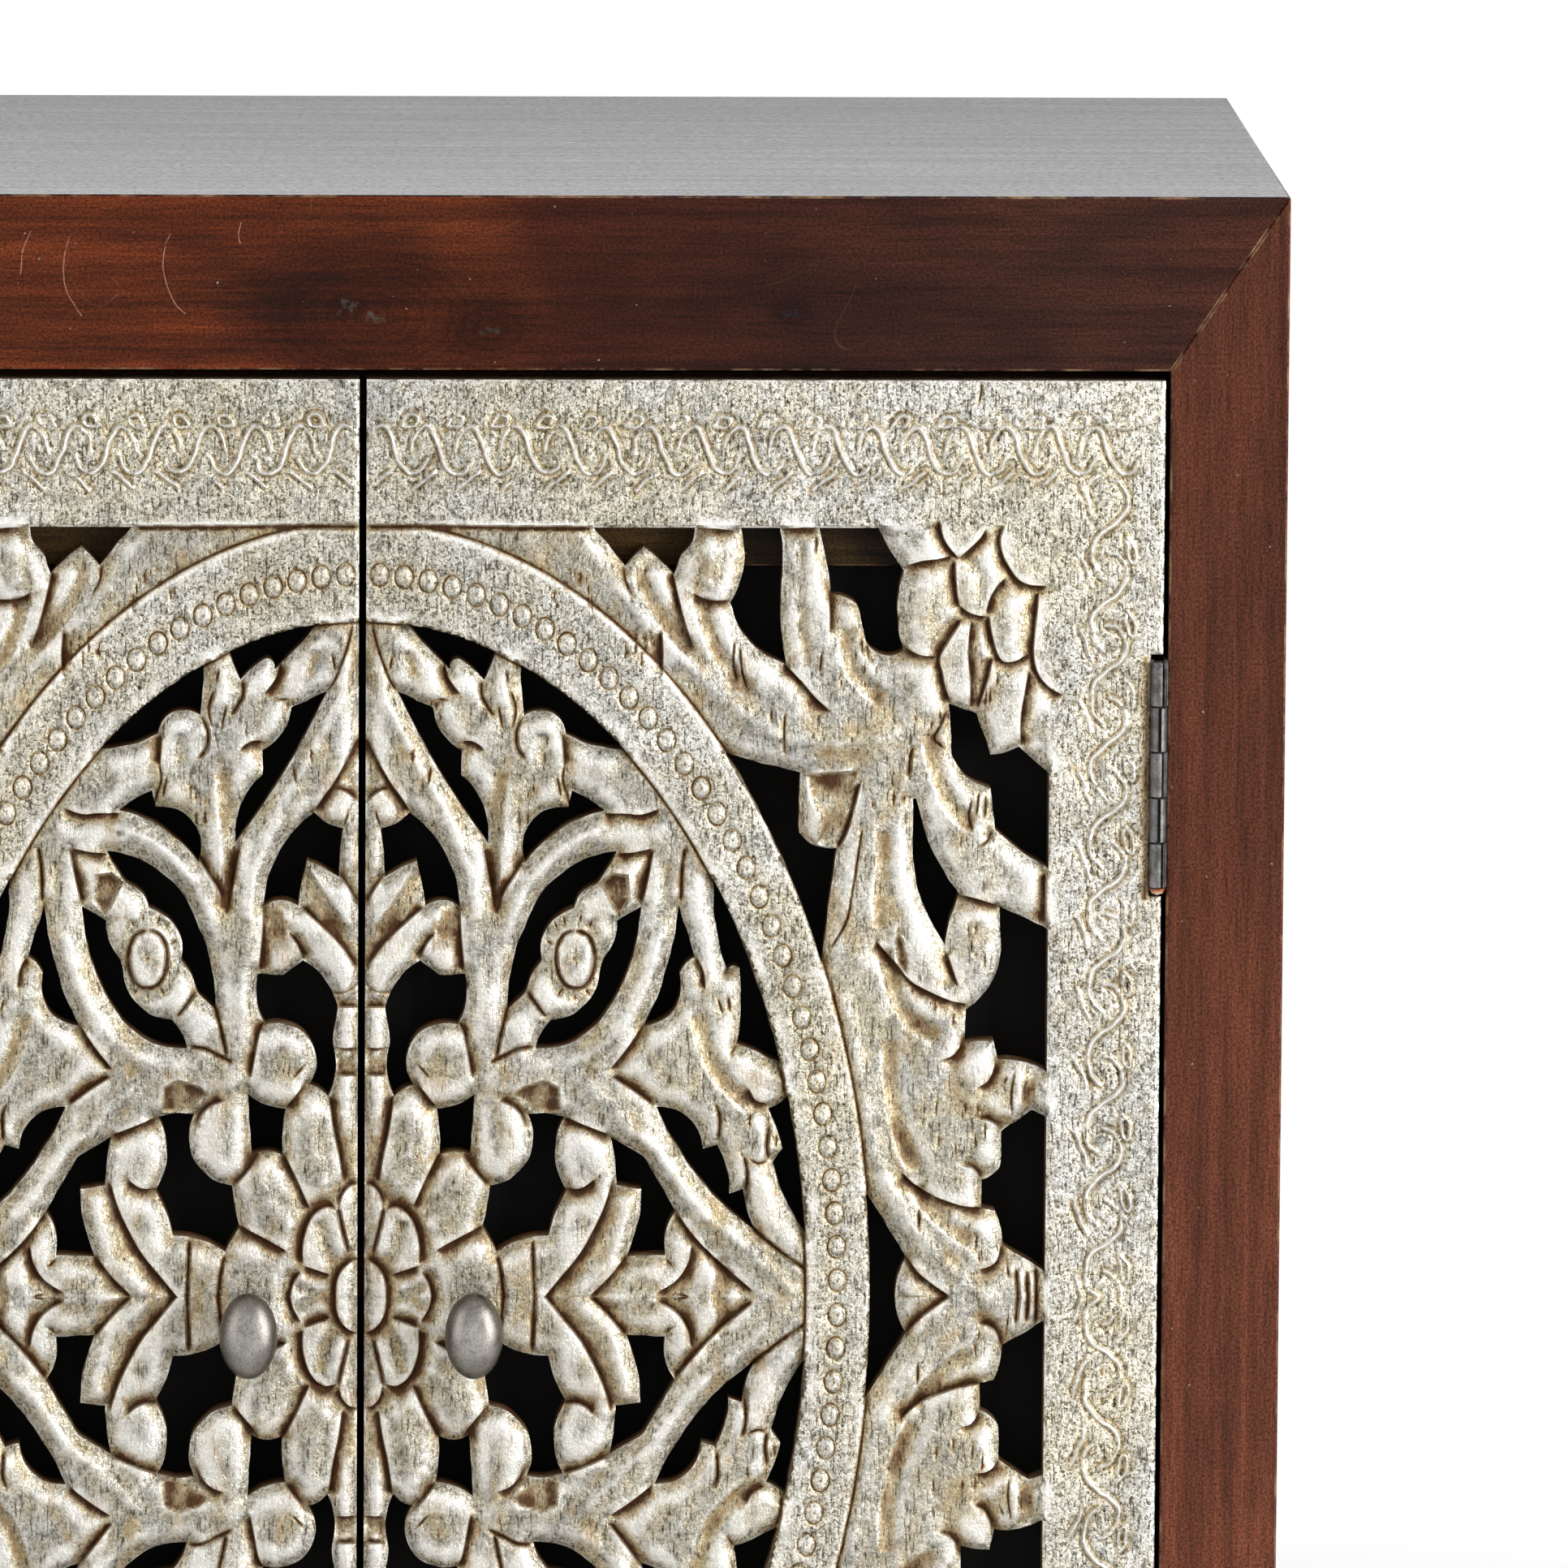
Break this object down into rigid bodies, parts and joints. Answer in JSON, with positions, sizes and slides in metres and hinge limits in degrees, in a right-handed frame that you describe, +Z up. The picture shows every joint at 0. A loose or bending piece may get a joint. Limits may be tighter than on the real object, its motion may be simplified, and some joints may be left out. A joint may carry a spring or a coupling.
{
  "type": "carved two-door cabinet",
  "caption": "Low rectangular wooden cabinet with a mitred dark frame and a pair of carved, pierced doors that carry an oval medallion, on butt hinges with oval knobs.",
  "frame": {"origin": "on the floor, at the middle of the closed cabinet's footprint with its knobs", "axes": "+Z up, -Y out of the front, +X to the viewer's right as one faces the doors"},
  "size_m": [0.76, 0.426, 0.922],
  "materials": {
    "case_wood": "dark reddish-brown stained wood, satin, rubbed pale along its edges",
    "inner_wood": "plain brown wood with a thin stain",
    "back_board": "thin plywood with a brown wash",
    "carved_leaf": "worn silver-white leaf, with brown wood left in the carving's hollows",
    "door_back_wood": "brown stained wood",
    "black_board": "thin board painted matt black",
    "knob_metal": "aged pewter colour, satin",
    "hinge_metal": "dull grey metal, tarnished",
    "pin_metal": "steel with light rust",
    "screw_steel": "plain zinc-plated steel",
    "catch_plastic": "dark brown plastic",
    "glide_plastic": "black plastic"
  },
  "bodies": {
    "case": {"top_board": "case_wood", "bottom_board": "case_wood", "left_side_board": "case_wood", "right_side_board": "case_wood", "face_frame_top_rail": "case_wood", "face_frame_bottom_rail": "case_wood", "face_frame_left_stile": "case_wood", "face_frame_right_stile": "case_wood", "shelf": "inner_wood", "shelf_cleats": "inner_wood", "top_door_stop_rail": "inner_wood", "bottom_door_stop_rail": "inner_wood", "back_panel": "back_board", "door_catches": "catch_plastic", "floor_glides": "glide_plastic", "back_panel_screws": "screw_steel", "right_upper_hinge_frame_leaf": "hinge_metal", "right_upper_hinge_pin": "pin_metal", "right_lower_hinge_frame_leaf": "hinge_metal", "right_lower_hinge_pin": "pin_metal", "right_hinge_frame_screws": "hinge_metal", "left_upper_hinge_frame_leaf": "hinge_metal", "left_upper_hinge_pin": "pin_metal", "left_lower_hinge_frame_leaf": "hinge_metal", "left_lower_hinge_pin": "pin_metal", "left_hinge_frame_screws": "hinge_metal"},
    "right_door": {"right_door_carved_panel": "carved_leaf", "right_door_back_top_rail": "door_back_wood", "right_door_back_bottom_rail": "door_back_wood", "right_door_back_hinge_stile": "door_back_wood", "right_door_back_meeting_batten": "door_back_wood", "right_door_backing_board": "black_board", "right_door_strike_plate": "screw_steel", "right_door_backing_screws": "screw_steel", "right_door_knob": "knob_metal", "right_door_knob_bolt": "screw_steel", "right_upper_hinge_door_leaf": "hinge_metal", "right_lower_hinge_door_leaf": "hinge_metal", "right_hinge_door_screws": "hinge_metal"},
    "left_door": {"left_door_carved_panel": "carved_leaf", "left_door_back_top_rail": "door_back_wood", "left_door_back_bottom_rail": "door_back_wood", "left_door_back_hinge_stile": "door_back_wood", "left_door_back_meeting_batten": "door_back_wood", "left_door_backing_board": "black_board", "left_door_strike_plate": "screw_steel", "left_door_backing_screws": "screw_steel", "left_door_knob": "knob_metal", "left_door_knob_bolt": "screw_steel", "left_upper_hinge_door_leaf": "hinge_metal", "left_lower_hinge_door_leaf": "hinge_metal", "left_hinge_door_screws": "hinge_metal"}
  },
  "joints": [
    {"name": "right_door_hinge", "type": "hinge", "parent": "case", "child": "right_door", "pos_m": [0.3277, -0.188, 0.464], "axis": [0, 0, 1], "range_deg": [0, 175]},
    {"name": "left_door_hinge", "type": "hinge", "parent": "case", "child": "left_door", "pos_m": [-0.3277, -0.188, 0.464], "axis": [0, 0, -1], "range_deg": [0, 175]}
  ]
}
